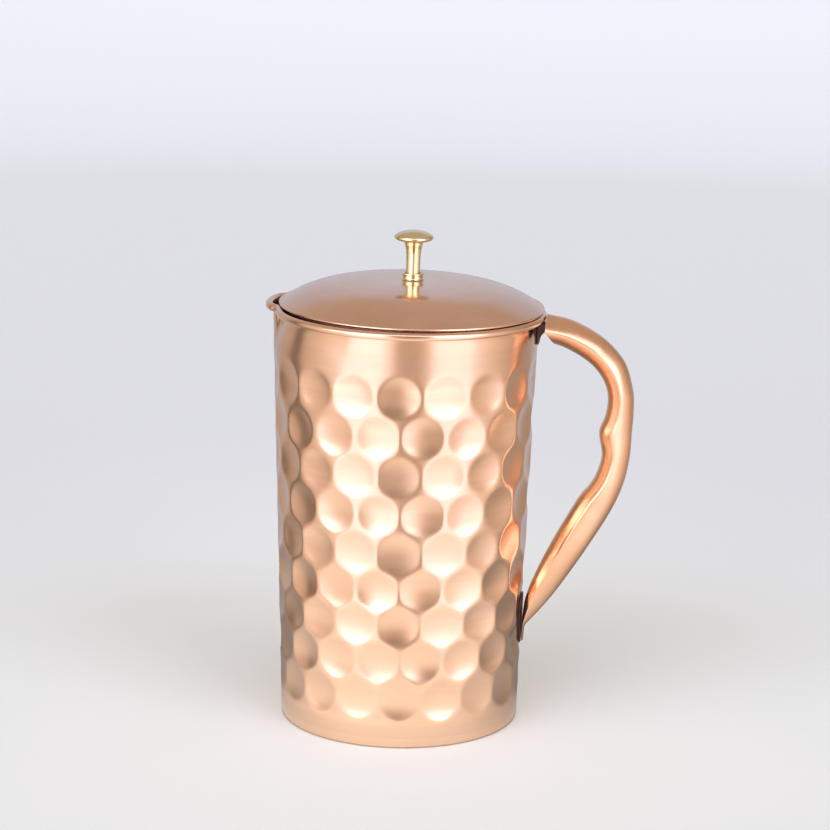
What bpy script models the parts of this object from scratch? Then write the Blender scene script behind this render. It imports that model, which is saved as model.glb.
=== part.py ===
"""Copper water jug with a loose domed lid.

A thin tapered copper wall ends in a rolled rim, which is pinched on both sides of a short pouring beak.
A flanged base is set into its foot. A hollow copper handle is brazed to the wall over two small plates.
The lid is a domed disc with a skirt that drops into the mouth, and a turned brass knob is screwed to it.

The origin is the centre of the underside, +Z is up, the beak points along -X and the handle along +X.
"""

import math

import bpy
import bmesh
from mathutils import Vector

MM = 0.001

# Wall and rim
SHEET = 0.7 * MM                # thickness of the copper sheet
BASE_R = 50.1 * MM              # outer radius of the wall at the base
TOP_R = 55.0 * MM               # outer radius of the wall under the rim
TOP_Z = 171.0 * MM              # height at which the rim starts
BEAD_R = 1.6 * MM               # outer radius of the rolled rim
BEAD_LINE_R = 56.6 * MM         # plan radius of the rim's centre line
BEAD_LINE_Z = 173.6 * MM
WIRE_R = 0.6 * MM               # wire inside the rolled rim
HAMMER_DEPTH = 0.45 * MM        # mean depth of the hammered zone below the plain bands
HAMMER_Z = (9.0 * MM, 156.0 * MM)
HAMMER_FADE = 3.0 * MM          # height over which the zone starts and ends
FOOT_CORNER = 0.8 * MM          # outside corner radius at the base
GAP = 0.3 * MM                  # clearance between pieces that touch
THIN_GAP = 0.15 * MM            # brazed joint
ROUND_STEPS = 72                # facets of the wall, one for each 5 degrees of the beak

# Mouth: centre line of the rim from the tip of the beak to where it meets the circle again, one
# point every 5 degrees, on the +Y side
BEAK_LINE = [(-56.8, 0.0), (-56.5, 4.9), (-55.4, 9.6), (-53.5, 12.9), (-51.0, 15.1), (-49.6, 19.3),
             (-48.1, 24.1), (-45.7, 29.3), (-42.5, 34.4), (-39.1, 38.7), (-35.6, 42.2), (-31.8, 45.3),
             (-27.8, 48.1), (-23.6, 50.5), (-19.1, 52.6), (-14.6, 54.4)]
BEAK_STEP = math.radians(5.0)
BEAK_FADE_Z = (157.0 * MM, 171.5 * MM)    # the pinch grows between these heights
BEAK_ROWS_Z = (167.0 * MM, 163.0 * MM, 159.0 * MM)
RIM_SLOPE = 0.6 * MM            # the rim is this much higher at the beak than at its middle
LIP_RISE = 0.8 * MM             # the beak's lip rises this much more
LIP_SPAN = math.radians(38.0)

# Base
BASE_FLANGE_H = 3.5 * MM
BASE_CORNER = 1.2 * MM          # outside radius where the flange turns up

# Handle: outer and inner edge in the XZ plane, half width, and how far the side ridge lies from the
# middle towards the outer edge, from the mouth down to the lower tip
HANDLE_SHEET = 0.8 * MM
HANDLE_STATIONS = [
    ((58.6, 174.6), (62.3, 162.4), 8.3, 0.0), ((68.6, 172.7), (66.0, 161.2), 8.2, 0.03),
    ((78.3, 168.2), (73.0, 157.7), 8.0, 0.08), ((85.6, 162.8), (78.9, 153.2), 7.9, 0.12),
    ((91.8, 155.0), (83.0, 147.4), 7.8, 0.15), ((95.2, 143.5), (84.7, 141.0), 7.8, 0.15),
    ((95.6, 134.5), (84.0, 133.6), 7.8, 0.1), ((95.2, 126.3), (81.6, 126.2), 7.9, 0.05),
    ((94.8, 117.0), (83.0, 116.6), 7.8, 0.0), ((93.3, 107.8), (81.0, 108.6), 7.8, -0.1),
    ((91.0, 100.3), (78.2, 103.5), 7.8, -0.2), ((87.3, 92.0), (74.6, 98.9), 7.8, -0.28),
    ((81.8, 82.2), (69.4, 89.8), 7.6, -0.3), ((73.8, 69.0), (62.4, 76.3), 7.2, -0.3),
    ((65.5, 56.4), (56.3, 62.7), 6.2, -0.3), ((59.3, 48.2), (53.2, 53.7), 5.0, -0.25),
    ((55.2, 43.4), (52.1, 46.6), 4.0, -0.2), ((53.1, 40.6), (51.8, 41.4), 3.4, -0.1),
    ((52.7, 37.5), (51.7, 37.5), 3.2, 0.0), ((52.5, 34.5), (51.7, 34.5), 2.6, 0.0)]
HANDLE_HOLLOW_END = 15          # station at which the hollow stops
HANDLE_SPLITS = 2               # rings from one station to the next
HANDLE_SIDES = 16
LENS_POWER = 1.7                # 1 would make the section an ellipse, 2 a pointed lens
END_BULGE = 1.7 * MM            # the slanted end reaches this much further at its sides

# Handle plates
ARM_HALF_WIDTH = 3.2 * MM
ARM_TOP_Z = 171.0 * MM
ARM_FOOT_Z = 162.2 * MM
ARM_REACH_X = 66.0 * MM
ARM_THICKNESS = 1.8 * MM
ARM_SWEEP = 7.0 * MM            # radius of the hollow edge from the arm down to the foot
ARM_FOOT_THICKNESS = 0.5 * MM
LEAF_Z = (33.0 * MM, 55.5 * MM)
LEAF_THICKNESS = 0.6 * MM
# Half width of the leaf in mm at fractions of its height, from its top down
LEAF_OUTLINE = [(0.0, 0.0), (0.1, 3.0), (0.25, 5.5), (0.4, 6.0), (0.55, 4.5), (0.7, 3.0), (0.85, 2.2),
                (0.95, 1.5), (1.0, 0.0)]
CUT_SPARE = 2.0 * MM            # cutters reach this much past what they cut

# Lid
LID_CENTRE_X = 2.4 * MM         # the beak's corners push the lid towards the handle
LID_SEAT_Z = 175.5 * MM
LID_TILT = math.radians(0.7)    # it rests on the raised lip and leans towards the handle
LID_R = 55.0 * MM
LID_EDGE = 1.2 * MM             # height of the rolled edge
LID_LOW = 0.35 * MM             # height at which the dome's line meets the lid's radius, inside the roll
LID_RISE = 10.75 * MM
LID_POWER = 3.8                 # a higher power is flatter in the middle
LID_TOP_RADII = (2.3, 16.0, 28.0, 37.0, 44.0, 49.0, 52.0, 53.9)
LID_UNDER_RADII = (51.5, 47.0, 40.0, 30.0, 16.0, 2.3)
LID_LIP_R = 53.0 * MM           # inner edge of the roll under the lid
LID_STEPS = 48
SKIRT_R = 51.3 * MM
SKIRT_DEPTH = 7.0 * MM
SKIRT_LEDGE_R = 46.5 * MM       # the skirt is turned in to this radius under the dome
SKIRT_GAP = SHEET * 1.1 + GAP   # from the dome's upper face down to the ledge, square to its slope
LEDGE_DROP = (0.1 * MM, 0.2 * MM)         # extra gap at the ledge's inner and outer edge
LEDGE_H = (0.8 * MM, 0.6 * MM)            # height of the ledge at the same edges
SCREW_HOLE_R = 2.3 * MM

# Knob: profiles as radius and height in mm, the knob's above the top of the dome and the collar's
# above its own foot
KNOB_BUTTON = [(0.0, 20.6), (3.5, 20.3), (6.0, 19.5), (7.5, 18.6), (8.05, 17.8), (7.9, 17.1), (7.0, 16.5),
               (5.0, 16.0), (3.6, 15.7)]
KNOB_STEM = [(3.8, 15.2), (3.65, 14.3), (3.3, 12.8), (3.0, 10.0), (2.95, 5.0)]
KNOB_FOOT_R = 3.05 * MM
KNOB_BORE_R = 2.0 * MM
KNOB_BORE_DEPTH = 9.0 * MM
BORE_CONE = 1.0 * MM            # the bore ends in a cone of this height
COLLAR_OUTER = [(3.9, 2.7), (4.6, 2.5), (4.65, 2.1), (4.25, 1.8), (4.2, 0.4), (4.6, 0.0)]
COLLAR_BORE_R = 3.35 * MM
COLLAR_H = 2.7 * MM
WASHER_R = 6.0 * MM
WASHER_H = 0.8 * MM
SCREW_R = 1.7 * MM
SCREW_TIP_SPARE = 0.7 * MM      # the bore is this much deeper than the screw
SCREW_CHAMFER = (0.4 * MM, 0.5 * MM)      # radius and height of the tip's chamfer
SCREW_HEAD_R = 3.8 * MM
SCREW_HEAD_H = 2.4 * MM
HEAD_ROUND = (0.9 * MM, 0.2 * MM, 1.0 * MM)    # radius, low and high end of the head's rounded edge
SLOT_WIDTH = 1.0 * MM
SLOT_DEPTH = 1.0 * MM
SMALL_STEPS = 24

APEX = LID_LOW + LID_RISE       # top of the dome above the lid's seat


def smooth(t):
    t = min(1.0, max(0.0, t))
    return t * t * (3.0 - 2.0 * t)


def clear_scene():
    for obj in list(bpy.data.objects):
        bpy.data.objects.remove(obj, do_unlink=True)


def collection(name):
    group = bpy.data.collections.new(name)
    bpy.context.scene.collection.children.link(group)
    return group


def material(name, colour, roughness, metallic=1.0):
    mat = bpy.data.materials.new(name)
    mat.use_nodes = True
    shader = mat.node_tree.nodes["Principled BSDF"]
    shader.inputs["Base Color"].default_value = (*colour, 1.0)
    shader.inputs["Roughness"].default_value = roughness
    shader.inputs["Metallic"].default_value = metallic
    return mat


def add(name, mesh, group, mat=None, parent=None):
    obj = bpy.data.objects.new(name, mesh)
    group.objects.link(obj)
    if mat:
        mesh.materials.append(mat)
    if parent:
        obj.parent = parent
    return obj


def profile_mesh(name, points, closed):
    """A chain of edges in the XZ plane; a closed one runs down its outer side and up its inner one."""
    edges = [(i, i + 1) for i in range(len(points) - 1)]
    if closed:
        edges.append((len(points) - 1, 0))
    mesh = bpy.data.meshes.new(name)
    mesh.from_pydata([(r, 0.0, z) for r, z in points], edges, [])
    return mesh


def turned(name, points, steps, group, mat=None, parent=None, closed=True):
    """A solid of revolution about its own Z axis."""
    obj = add(name, profile_mesh(name, points, closed), group, mat, parent)
    screw = obj.modifiers.new("turn", 'SCREW')
    screw.axis = 'Z'
    screw.angle = 2.0 * math.pi
    screw.steps = steps
    screw.render_steps = steps
    screw.use_merge_vertices = True
    screw.merge_threshold = 0.00002
    screw.use_smooth_shade = True
    return obj


def made_mesh(obj):
    """Replace an object by a plain mesh object of the same name, place and look."""
    depsgraph = bpy.context.evaluated_depsgraph_get()
    depsgraph.update()
    mesh = bpy.data.meshes.new_from_object(obj.evaluated_get(depsgraph))
    name, group, place = obj.name, obj.users_collection[0], obj.matrix_world.copy()
    bpy.data.objects.remove(obj, do_unlink=True)
    copy = bpy.data.objects.new(name, mesh)
    copy.matrix_world = place
    group.objects.link(copy)
    return copy


def tidy_mesh(mesh, merge=0.00001):
    """Weld loose caps and turn the faces outwards."""
    bm = bmesh.new()
    bm.from_mesh(mesh)
    bmesh.ops.remove_doubles(bm, verts=bm.verts, dist=merge)
    bmesh.ops.recalc_face_normals(bm, faces=bm.faces)
    bm.to_mesh(mesh)
    bm.free()


def shade(mesh, angle=35.0):
    mesh.shade_smooth()
    mesh.set_sharp_from_angle(angle=math.radians(angle))


def boolean(obj, other, operation):
    other.hide_render = True
    other.display_type = 'WIRE'
    cut = obj.modifiers.new(operation.lower(), 'BOOLEAN')
    cut.operation = operation
    cut.solver = 'EXACT'
    cut.object = other


def arc(centre, radius, start, end, count):
    """Points on an arc in the XZ plane, angles in degrees."""
    points = []
    for i in range(count + 1):
        angle = math.radians(start + (end - start) * i / count)
        points.append((centre[0] + radius * math.cos(angle), centre[1] + radius * math.sin(angle)))
    return points


def wall_radius(z):
    """Outer radius of the wall, with the shallow step of the hammered zone."""
    plain = BASE_R + (TOP_R - BASE_R) * z / TOP_Z
    inside = smooth((z - HAMMER_Z[0]) / HAMMER_FADE) * smooth((HAMMER_Z[1] - z) / HAMMER_FADE)
    return plain - HAMMER_DEPTH * inside


def beak_point(step):
    """Plan point of the rim's centre line at a signed number of 5 degree steps from the beak."""
    count = abs(step)
    if count < len(BEAK_LINE):
        x, y = BEAK_LINE[count]
        return Vector((x * MM, math.copysign(y * MM, step) if step else 0.0))
    angle = math.pi - step * BEAK_STEP
    return Vector((BEAD_LINE_R * math.cos(angle), BEAD_LINE_R * math.sin(angle)))


def form_mouth(mesh):
    """Pinch the rim beside the beak and raise its lip, keeping every section square to the rim."""
    for vertex in mesh.vertices:
        x, y, z = vertex.co
        radius = math.hypot(x, y)
        step = round((math.pi - math.atan2(y, x)) / BEAK_STEP)
        if step > 36:
            step -= 72
        weight = smooth((z - BEAK_FADE_Z[0]) / (BEAK_FADE_Z[1] - BEAK_FADE_Z[0]))
        line = []
        for near in (step - 1, step, step + 1):
            angle = math.pi - near * BEAK_STEP
            circle = Vector((math.cos(angle), math.sin(angle))) * BEAD_LINE_R
            line.append(circle.lerp(beak_point(near), weight))
        along = (line[2] - line[0]).normalized()
        outward = Vector((-along.y, along.x))
        spot = line[1] + outward * (radius - BEAD_LINE_R)
        away = abs(step) * BEAK_STEP
        rise = RIM_SLOPE * math.cos(away) + LIP_RISE * smooth(1.0 - away / LIP_SPAN)
        vertex.co = (spot.x, spot.y, z + rise * weight)


def make_body_shell(group, mat):
    centre = (BEAD_LINE_R, BEAD_LINE_Z)
    inner_r = BEAD_R - SHEET
    heights = [HAMMER_Z[1], HAMMER_Z[1] - HAMMER_FADE, HAMMER_Z[0] + HAMMER_FADE, HAMMER_Z[0]]
    outer = [(wall_radius(z), z) for z in (TOP_Z, *BEAK_ROWS_Z, *heights)]
    corner = arc((BASE_R - FOOT_CORNER, FOOT_CORNER), FOOT_CORNER, 0.0, -90.0, 3)
    inner = [(BASE_R - SHEET, 0.0)]
    inner += [(wall_radius(z) - SHEET, z) for z in (*reversed(heights), *BEAK_ROWS_Z[1::-1], TOP_Z)]
    curl_out = arc(centre, BEAD_R, 180.0, -100.0, 9)
    curl_in = arc(centre, inner_r, -100.0, 180.0, 7)
    points = outer + corner[:-1] + inner + curl_out + curl_in
    body = made_mesh(turned("body_shell", points, ROUND_STEPS, group, mat))
    form_mouth(body.data)
    tidy_mesh(body.data)
    shade(body.data)
    return body


def make_rim_wire(group, mat):
    points = arc((BEAD_LINE_R, BEAD_LINE_Z), WIRE_R, 90.0, -210.0, 5)
    wire = made_mesh(turned("rim_wire", points, ROUND_STEPS, group, mat))
    form_mouth(wire.data)
    tidy_mesh(wire.data)
    shade(wire.data, 80.0)
    return wire


def make_base_disc(group, mat):
    rim_r = BASE_R - SHEET - GAP
    centre = (rim_r - BASE_CORNER, BASE_CORNER)
    points = [(0.0, SHEET), (rim_r - BASE_CORNER, SHEET)]
    points += arc(centre, BASE_CORNER - SHEET, -90.0, 0.0, 2)[1:]
    points += [(rim_r - SHEET, BASE_FLANGE_H), (rim_r, BASE_FLANGE_H)]
    points += arc(centre, BASE_CORNER, 0.0, -90.0, 3)
    points += [(0.0, 0.0)]
    return turned("base_disc", points, LID_STEPS, group, mat, closed=False)


def between(values, position):
    """Catmull-Rom value at a fractional position in a list of vectors."""
    last = len(values) - 1
    index = min(int(position), last - 1)
    t = position - index
    before, here = values[max(index - 1, 0)], values[index]
    after, beyond = values[index + 1], values[min(index + 2, last)]
    return 0.5 * (2.0 * here + (after - before) * t
                  + (2.0 * before - 5.0 * here + 4.0 * after - beyond) * t * t
                  + (3.0 * here - before - 3.0 * after + beyond) * t ** 3)


def handle_ring(position, wall):
    """Lens-shaped section of the handle, with a ridge at each side, shrunk by the given wall thickness."""
    top = between([Vector(s[0]) for s in HANDLE_STATIONS], position) * MM
    bottom = between([Vector(s[1]) for s in HANDLE_STATIONS], position) * MM
    half_width, ridge = between([Vector(s[2:]) for s in HANDLE_STATIONS], position)
    half_width = half_width * MM - wall
    centre, reach = (top + bottom) / 2.0, (top - bottom) / 2.0
    reach *= 1.0 - wall / reach.length
    bulge = END_BULGE * max(0.0, 1.0 - position)
    ring = []
    for i in range(HANDLE_SIDES):
        angle = 2.0 * math.pi * i / HANDLE_SIDES
        across = math.cos(angle)
        up = math.copysign(abs(math.sin(angle)) ** LENS_POWER, math.sin(angle))
        spot = centre + reach * (up + ridge * (1.0 - abs(up)))
        side = across ** 2 if up > 0.0 else 1.0 + up
        ring.append((spot.x - bulge * side, half_width * across, spot.y))
    return ring


def make_handle(group, mat):
    """A blind tube: open at the slanted upper end, closed before its pinched lower tip."""
    steps = HANDLE_SPLITS * (len(HANDLE_STATIONS) - 1)
    outer = [handle_ring(i / HANDLE_SPLITS, 0.0) for i in range(steps + 1)]
    hollow = HANDLE_SPLITS * HANDLE_HOLLOW_END
    inner = [handle_ring(i / HANDLE_SPLITS, HANDLE_SHEET) for i in range(hollow + 1)]
    bm = bmesh.new()
    chain = [[bm.verts.new(co) for co in ring] for ring in reversed(inner)]
    chain += [[bm.verts.new(co) for co in ring] for ring in outer]
    for one, two in zip(chain, chain[1:]):
        for i in range(HANDLE_SIDES):
            j = (i + 1) % HANDLE_SIDES
            bm.faces.new((one[i], one[j], two[j], two[i]))
    bm.faces.new(chain[0])
    bm.faces.new(reversed(chain[-1]))
    mesh = bpy.data.meshes.new("handle_tube")
    bm.to_mesh(mesh)
    bm.free()
    tidy_mesh(mesh)
    shade(mesh, 50.0)
    return add("handle_tube", mesh, group, mat)


def prism(name, outline, half_depth, group):
    """A flat outline drawn in its own XY plane and extruded both ways along its Z."""
    curve = bpy.data.curves.new(name, 'CURVE')
    curve.dimensions = '2D'
    curve.fill_mode = 'BOTH'
    curve.extrude = half_depth
    spline = curve.splines.new('POLY')
    spline.points.add(len(outline) - 1)
    for point, (x, y) in zip(spline.points, outline):
        point.co = (x, y, 0.0, 1.0)
    spline.use_cyclic_u = True
    obj = bpy.data.objects.new(name, curve)
    group.objects.link(obj)
    return obj


def make_upper_plate(group, cutters, mat):
    """A bent strap: its foot lies on the wall under the rim and its arm runs into the handle."""
    face = TOP_R - CUT_SPARE
    arm_low = ARM_TOP_Z - ARM_THICKNESS
    foot_x = TOP_R + THIN_GAP + ARM_FOOT_THICKNESS
    outline = [(face, ARM_FOOT_Z), (face, ARM_TOP_Z), (ARM_REACH_X, ARM_TOP_Z), (ARM_REACH_X, arm_low)]
    outline += arc((foot_x + ARM_SWEEP, arm_low - ARM_SWEEP), ARM_SWEEP, 90.0, 180.0, 6)
    outline += [(foot_x, ARM_FOOT_Z)]
    plate = prism("upper_handle_plate", outline, ARM_HALF_WIDTH, group)
    plate.rotation_euler = (math.radians(90.0), 0.0, 0.0)
    bpy.context.view_layer.update()
    plate = made_mesh(plate)
    tidy_mesh(plate.data)
    plate.data.materials.append(mat)
    top_r, top = wall_radius(TOP_Z) + THIN_GAP, TOP_Z + CUT_SPARE
    foot_r, foot = wall_radius(ARM_FOOT_Z) + THIN_GAP, ARM_FOOT_Z - CUT_SPARE
    hollow = [(0.0, top), (top_r, top), (top_r, TOP_Z), (foot_r, foot), (0.0, foot)]
    boolean(plate, turned("wall_side_cutter", hollow, ROUND_STEPS, cutters, closed=False), 'DIFFERENCE')
    return plate


def make_lower_plate(group, cutters, mat):
    """A leaf-shaped pad, bent to the wall."""
    low, high = LEAF_Z
    side = [(half * MM, high + (low - high) * t) for t, half in LEAF_OUTLINE]
    outline = side + [(-y, z) for y, z in side[-2:0:-1]]
    plate = prism("lower_handle_plate", outline, 3.0 * CUT_SPARE, group)
    plate.location = (BASE_R, 0.0, 0.0)
    plate.rotation_euler = (math.radians(90.0), 0.0, math.radians(90.0))
    bpy.context.view_layer.update()
    plate = made_mesh(plate)
    tidy_mesh(plate.data)
    plate.data.materials.append(mat)
    near, far = THIN_GAP, THIN_GAP + LEAF_THICKNESS
    top, foot = high + CUT_SPARE, low - CUT_SPARE
    ring = [(wall_radius(top) + far, top), (wall_radius(foot) + far, foot),
            (wall_radius(foot) + near, foot), (wall_radius(top) + near, top)]
    boolean(plate, turned("wall_band_cutter", ring, ROUND_STEPS, cutters), 'INTERSECT')
    return plate


def dome_z(radius):
    """Height of the lid's upper face above its seat."""
    return LID_LOW + LID_RISE * (1.0 - (radius / LID_R) ** LID_POWER)


def make_lid_dome(group, mat, seat):
    edge_r = LID_EDGE / 2.0
    points = [(r * MM, dome_z(r * MM)) for r in LID_TOP_RADII]
    points += arc((LID_R - edge_r, edge_r), edge_r, 130.0, -120.0, 6)
    points += [(LID_LIP_R, dome_z(LID_LIP_R) - SHEET)]
    points += [(r * MM, dome_z(r * MM) - SHEET) for r in LID_UNDER_RADII]
    return turned("lid_dome", points, LID_STEPS, group, mat, seat)


def make_lid_skirt(group, mat, seat):
    inner_top = dome_z(SKIRT_LEDGE_R) - SKIRT_GAP - LEDGE_DROP[0]
    outer_top = dome_z(SKIRT_R) - SKIRT_GAP - LEDGE_DROP[1]
    points = [(SKIRT_LEDGE_R, inner_top), (SKIRT_R, outer_top), (SKIRT_R, -SKIRT_DEPTH),
              (SKIRT_R - SHEET, -SKIRT_DEPTH), (SKIRT_R - SHEET, outer_top - LEDGE_H[1]),
              (SKIRT_LEDGE_R, inner_top - LEDGE_H[0])]
    return turned("lid_skirt", points, LID_STEPS, group, mat, seat)


def make_knob(group, mat, seat):
    """Button, neck ring and waisted stem in one turned piece, with a blind threaded hole."""
    foot = APEX + GAP
    points = [(r * MM, APEX + z * MM) for r, z in KNOB_BUTTON + KNOB_STEM]
    points += [(KNOB_FOOT_R, foot), (KNOB_BORE_R, foot), (KNOB_BORE_R, foot + KNOB_BORE_DEPTH),
               (0.0, foot + KNOB_BORE_DEPTH + BORE_CONE)]
    return turned("knob", points, SMALL_STEPS, group, mat, seat, closed=False)


def make_knob_collar(group, mat, seat):
    foot = APEX + GAP
    points = [(r * MM, foot + z * MM) for r, z in COLLAR_OUTER]
    points += [(COLLAR_BORE_R, foot), (COLLAR_BORE_R, foot + COLLAR_H)]
    return turned("knob_collar", points, SMALL_STEPS, group, mat, seat)


def make_knob_washer(group, mat, seat):
    top = APEX - SHEET - GAP
    low = top - WASHER_H
    points = [(WASHER_R, top), (WASHER_R, low), (SCREW_HOLE_R, low), (SCREW_HOLE_R, top)]
    return turned("knob_washer", points, SMALL_STEPS, group, mat, seat)


def make_knob_screw(group, cutters, mat, seat):
    """A slotted pan-head screw, put in from under the lid."""
    under = APEX - SHEET - 2.0 * GAP - WASHER_H
    low = under - SCREW_HEAD_H
    tip = APEX + GAP + KNOB_BORE_DEPTH - SCREW_TIP_SPARE
    points = [(0.0, tip), (SCREW_R - SCREW_CHAMFER[0], tip), (SCREW_R, tip - SCREW_CHAMFER[1]),
              (SCREW_R, under), (SCREW_HEAD_R, under), (SCREW_HEAD_R, low + HEAD_ROUND[2]),
              (SCREW_HEAD_R - HEAD_ROUND[0], low + HEAD_ROUND[1]), (0.0, low)]
    screw = turned("knob_screw", points, SMALL_STEPS, group, mat, seat, closed=False)
    bpy.ops.mesh.primitive_cube_add(size=1.0)
    slot = bpy.context.object
    slot.name = "slot_cutter"
    slot.scale = (3.0 * SCREW_HEAD_R, SLOT_WIDTH, 2.0 * SLOT_DEPTH)
    slot.location = (0.0, 0.0, low)
    slot.parent = seat
    for group_in in slot.users_collection:
        group_in.objects.unlink(slot)
    cutters.objects.link(slot)
    boolean(screw, slot, 'DIFFERENCE')
    return screw


def make_lid_seat(group):
    """The lid's own frame: Z is the lid's axis, and Z = 0 is the underside of its rolled edge."""
    seat = bpy.data.objects.new("lid_seat", None)
    seat.location = (LID_CENTRE_X, 0.0, LID_SEAT_Z)
    seat.rotation_euler = (0.0, LID_TILT, 0.0)
    group.objects.link(seat)
    return seat


def main():
    clear_scene()
    group = collection("copper_water_jug")
    cutters = collection("cutters")

    satin = (0.83, 0.47, 0.31)
    polished = (0.87, 0.50, 0.33)
    brass = (0.83, 0.65, 0.30)
    oxide = (0.11, 0.045, 0.035)

    make_body_shell(group, material("hammered_copper", satin, 0.30))
    make_rim_wire(group, material("rim_wire_copper", satin, 0.40))
    make_base_disc(group, material("base_copper", satin, 0.38))
    make_handle(group, material("handle_copper", polished, 0.20))
    make_upper_plate(group, cutters, material("upper_plate_oxide", oxide, 0.55, 0.6))
    make_lower_plate(group, cutters, material("lower_plate_oxide", oxide, 0.55, 0.6))

    seat = make_lid_seat(group)
    make_lid_dome(group, material("lid_copper", satin, 0.25), seat)
    make_lid_skirt(group, material("skirt_copper", satin, 0.35), seat)
    make_knob(group, material("knob_brass", brass, 0.15), seat)
    make_knob_collar(group, material("collar_brass", brass, 0.18), seat)
    make_knob_washer(group, material("washer_brass", brass, 0.30), seat)
    make_knob_screw(group, cutters, material("screw_brass", brass, 0.28), seat)


main()
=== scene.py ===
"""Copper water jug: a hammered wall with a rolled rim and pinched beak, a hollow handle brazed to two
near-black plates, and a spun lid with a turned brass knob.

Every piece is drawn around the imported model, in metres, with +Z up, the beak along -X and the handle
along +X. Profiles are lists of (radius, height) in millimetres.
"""

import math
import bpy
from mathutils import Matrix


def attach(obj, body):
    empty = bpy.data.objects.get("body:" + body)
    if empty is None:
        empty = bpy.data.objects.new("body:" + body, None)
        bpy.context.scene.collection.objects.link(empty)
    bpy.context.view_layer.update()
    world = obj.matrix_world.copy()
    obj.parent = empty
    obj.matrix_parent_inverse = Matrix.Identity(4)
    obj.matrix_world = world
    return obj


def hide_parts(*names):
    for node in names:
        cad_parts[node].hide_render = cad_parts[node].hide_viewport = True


bl_info = {
    "name": "Copper Water Jug",
    "version": (1, 0, 0),
    "blender": (4, 5, 0),
    "location": "View3D > Sidebar > Water Jug",
    "description": "Builds a hammered copper jug with its handle, lid, brass knob and stage",
    "category": "Add Mesh",
}

import bpy
import numpy as np
from bpy.props import FloatProperty, FloatVectorProperty, IntProperty, PointerProperty
from mathutils import Matrix, Vector

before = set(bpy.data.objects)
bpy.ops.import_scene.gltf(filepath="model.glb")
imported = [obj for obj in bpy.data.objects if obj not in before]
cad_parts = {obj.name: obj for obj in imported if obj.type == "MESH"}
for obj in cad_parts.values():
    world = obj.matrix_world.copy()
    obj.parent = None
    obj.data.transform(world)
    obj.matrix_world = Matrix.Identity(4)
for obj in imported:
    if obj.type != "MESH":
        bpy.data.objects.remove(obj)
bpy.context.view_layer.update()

MM = 0.001

# Wall and rim, in mm
SHEET = 0.7
BASE_R = 50.1
TOP_R = 55.0
TOP_Z = 171.0
BEAD_R = 1.6
BEAD_CENTRE = (56.6, 173.6)
HAMMER_Z = (9.0, 156.0)
FOOT_CORNER = 0.8
THIN_GAP = 0.15
ROUND_STEPS = 360
HAMMER_STEPS = 128              # points down the hammered height outside, and up it inside
LINING_STEPS = 56

# Rim's centre line in plan from the tip of the beak round to the circle, one point every 5 degrees
BEAK_LINE = [(-56.8, 0.0), (-56.5, 4.9), (-55.4, 9.6), (-53.5, 12.9), (-51.0, 15.1), (-49.6, 19.3),
             (-48.1, 24.1), (-45.7, 29.3), (-42.5, 34.4), (-39.1, 38.7), (-35.6, 42.2), (-31.8, 45.3),
             (-27.8, 48.1), (-23.6, 50.5), (-19.1, 52.6), (-14.6, 54.4)]
BEAK_STEPS = 72
BEAK_FADE_Z = (157.0, 171.5)
RIM_SLOPE = 0.6
LIP_RISE = 0.8
LIP_SPAN = math.radians(38.0)

# Hammer marks: height of each row and the angle of one mark in the odd and the even rows
MARK_ROWS = (148.0, 131.0, 115.0, 98.7, 82.7, 67.0, 52.1, 36.3, 20.2)
MARK_ANGLES = (-82.8, -73.0)
MARK_DRIFT = 2.0
MARKS_PER_ROW = 18
LEAF_RECESS = 0.45              # the wall is left even behind the lower plate, and for a little way round it
RECESS_FADE = 4.0

# Base
BASE_RINGS = (0.0, 12.0, 24.0, 36.0)
BASE_CORNER = 1.2
FLANGE_TOP = 3.5
FLANGE_EDGE = 0.15

# Handle: outer edge, inner edge, half width, and how far the side ridge lies from the middle towards
# the outer edge, from the mouth down to the lower tip
HANDLE_SHEET = 0.8
HANDLE_STATIONS = [
    (58.6, 174.6, 62.3, 162.4, 8.3, 0.0), (68.6, 172.7, 66.0, 161.2, 8.2, 0.03),
    (78.3, 168.2, 73.0, 157.7, 8.0, 0.08), (85.6, 162.8, 78.9, 153.2, 7.9, 0.12),
    (91.8, 155.0, 83.0, 147.4, 7.8, 0.15), (95.2, 143.5, 84.7, 141.0, 7.8, 0.15),
    (95.6, 134.5, 84.0, 133.6, 7.8, 0.1), (95.2, 126.3, 81.6, 126.2, 7.9, 0.05),
    (94.8, 117.0, 83.0, 116.6, 7.8, 0.0), (93.3, 107.8, 81.0, 108.6, 7.8, -0.1),
    (91.0, 100.3, 78.2, 103.5, 7.8, -0.2), (87.3, 92.0, 74.6, 98.9, 7.8, -0.28),
    (81.8, 82.2, 69.4, 89.8, 7.6, -0.3), (73.8, 69.0, 62.4, 76.3, 7.2, -0.3),
    (65.5, 56.4, 56.3, 62.7, 6.2, -0.3), (59.3, 48.2, 53.2, 53.7, 5.0, -0.25),
    (55.2, 43.4, 52.1, 46.6, 4.0, -0.2), (53.1, 40.6, 51.8, 41.4, 3.4, -0.1),
    (52.7, 37.5, 51.7, 37.5, 3.2, 0.0), (52.5, 34.5, 51.7, 34.5, 2.6, 0.0)]
HOLLOW_END = 15
HANDLE_SIDES = 72
LENS_POWER = 1.7                # 1 would make the section an ellipse, 2 a pointed lens
HANDLE_SPLITS = 8
END_BULGE = 1.7
INNER_LIGHT_STATIONS = (4.0, 7.0)    # between these the painted paler inner side fades in

# Handle plates
ARM_HALF_WIDTH = 3.2
ARM_Z = (162.2, 171.0)
ARM_REACH_X = 66.0
ARM_THICKNESS = 1.8
ARM_FOOT_THICKNESS = 0.5
ARM_SWEEP = 7.0
LEAF_Z = (33.0, 55.5)
LEAF_THICKNESS = 0.6
LEAF_HALF_WIDTH = 6.0
LEAF_GRID = (24, 60)
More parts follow.
